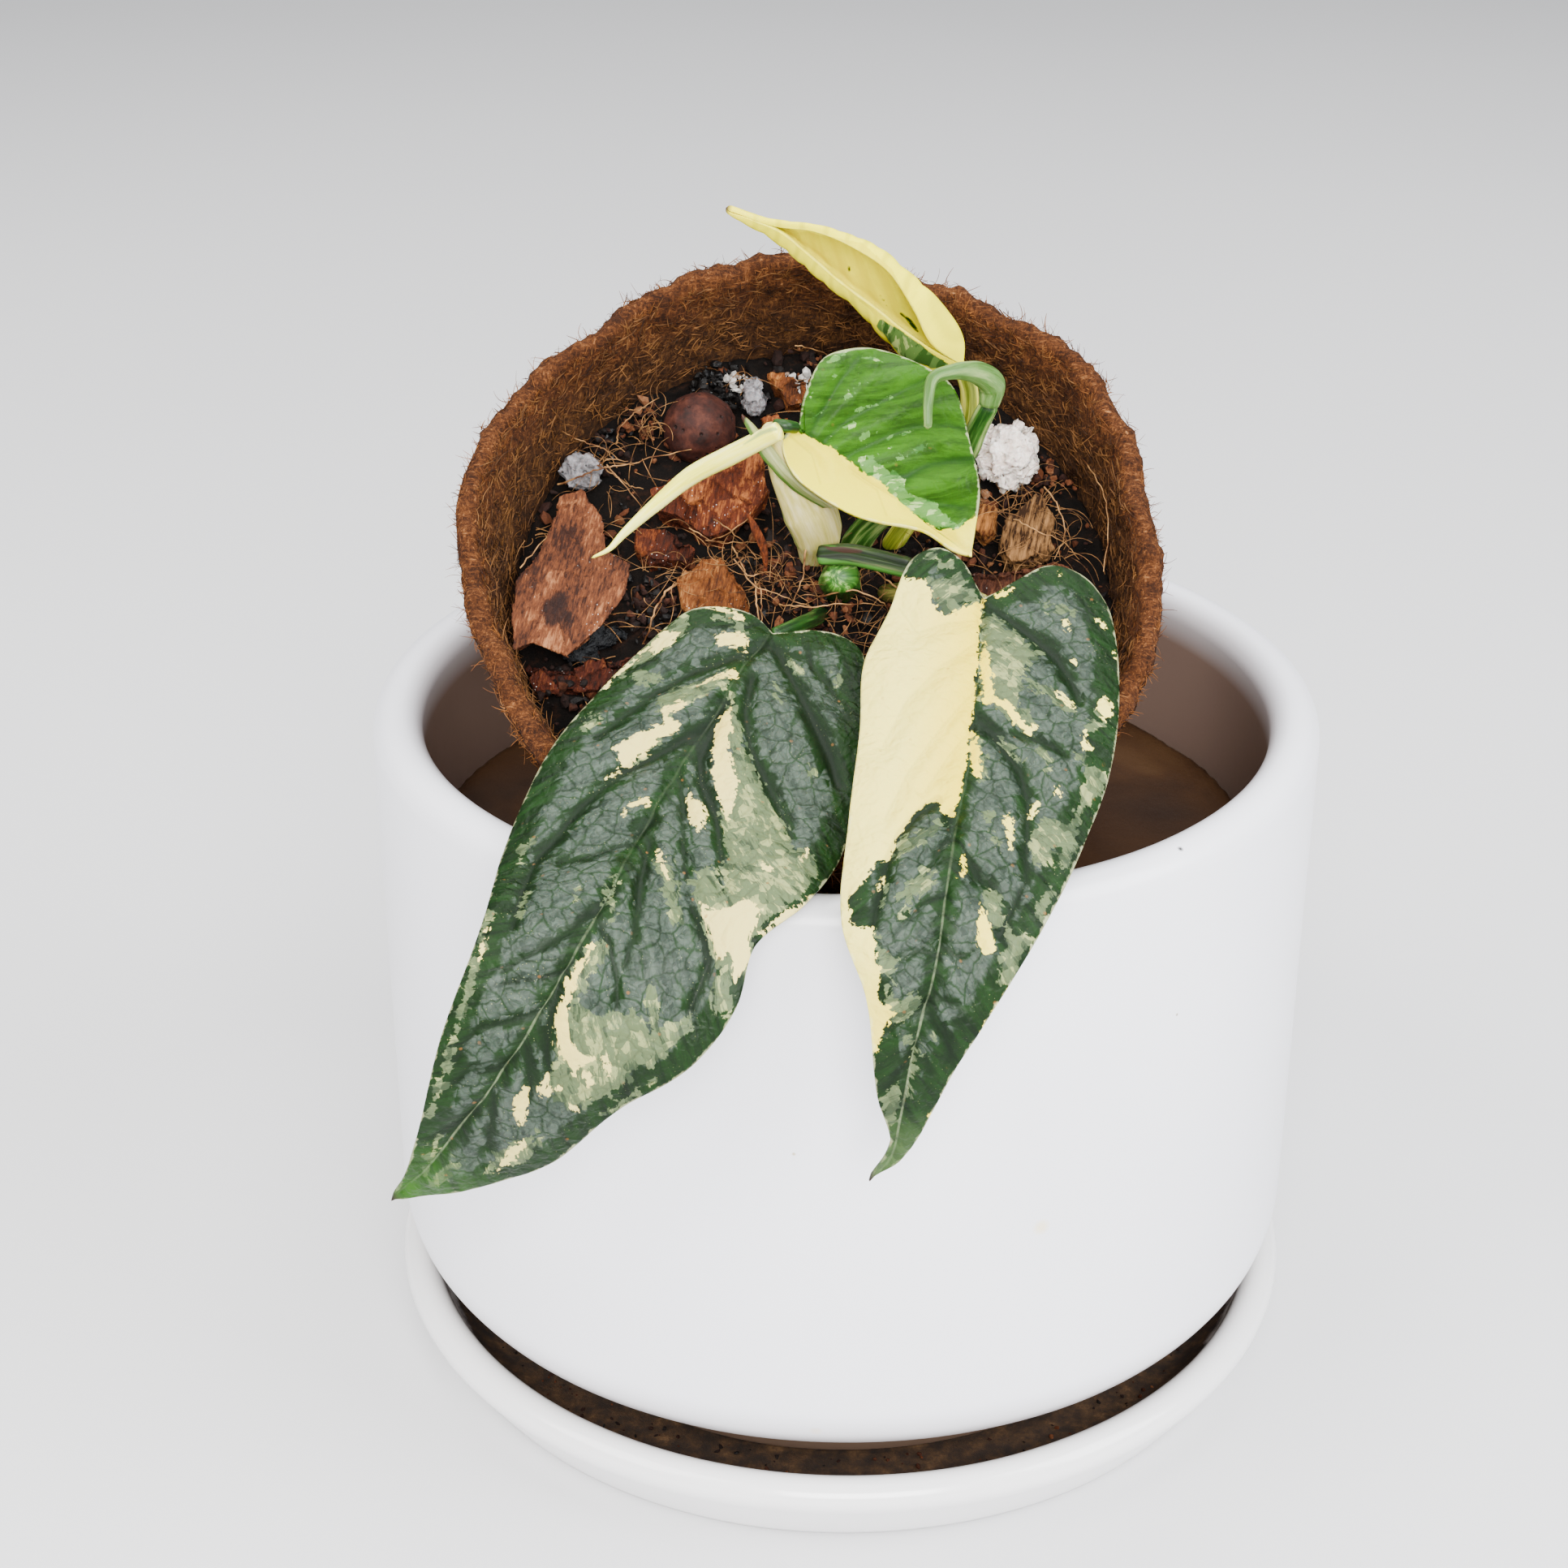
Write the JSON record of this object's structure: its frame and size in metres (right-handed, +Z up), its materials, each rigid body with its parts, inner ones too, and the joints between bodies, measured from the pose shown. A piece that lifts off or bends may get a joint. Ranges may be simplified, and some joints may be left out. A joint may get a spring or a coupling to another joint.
{
  "type": "potted variegated monstera siltepecana",
  "caption": "Young variegated climbing aroid in a tilted torn coir pot, bedded in a white glazed cylinder planter on its saucer.",
  "frame": {"origin": "on the planter's axis, on the saucer's flat underside", "axes": "+Z up along the planter's axis, -Y towards the viewer, the side that the coir pot's mouth tilts to; +X to the viewer's right"},
  "size_m": [0.1538, 0.1688, 0.1932],
  "materials": {
    "white_glaze": "cool white satin glaze",
    "saucer_glaze": "glossy white glaze with a brown stain in the well",
    "brown_fill": "smooth brown peat and coir fill",
    "coir_fibre": "rough pressed coconut fibre with a torn edge",
    "potting_mix": "dark rough potting mix",
    "bark": "rough red brown bark",
    "husk": "tan fibrous coconut husk",
    "fired_clay": "matt pitted fired clay",
    "pumice": "pale porous pumice",
    "charcoal": "glossy broken charcoal",
    "leaf_dark": "satin dark green leaf with silver cells and cream patches",
    "leaf_pale": "satin leaf, half cream and half mottled green",
    "leaf_green": "glossy green leaf with a cream yellow lower half",
    "leaf_yellow": "glossy yellow folded young leaf",
    "cream_sheath": "smooth cream sheath tissue",
    "green_stalk": "smooth green striped stalk"
  },
  "bodies": {
    "root": {"saucer": "saucer_glaze", "planter": "white_glaze", "planter_fill": "brown_fill", "coir_pot": "coir_fibre", "potting_mix": "potting_mix", "bark_slab": "bark", "bark_chunk": "bark", "bark_chunk_lower": "bark", "bark_chip_front": "bark", "bark_chip_back": "bark", "bark_chip_small": "bark", "bark_chip_right": "bark", "bark_chip_low": "bark", "husk_chip_large": "husk", "husk_chip_small": "husk", "clay_ball": "fired_clay", "pumice_right": "pumice", "pumice_back": "pumice", "pumice_left": "pumice", "charcoal": "charcoal", "leaf_sheath": "cream_sheath", "rolled_leaf": "cream_sheath", "stem_node": "green_stalk", "cut_petiole": "green_stalk", "petiole_shoot": "green_stalk", "petiole_upper": "green_stalk", "petiole_middle": "green_stalk", "petiole_left": "green_stalk", "petiole_right": "green_stalk", "curled_shoot": "green_stalk", "leaf_left": "leaf_dark", "leaf_right": "leaf_pale", "leaf_middle": "leaf_green", "leaf_upper": "leaf_yellow"}
  },
  "joints": []
}
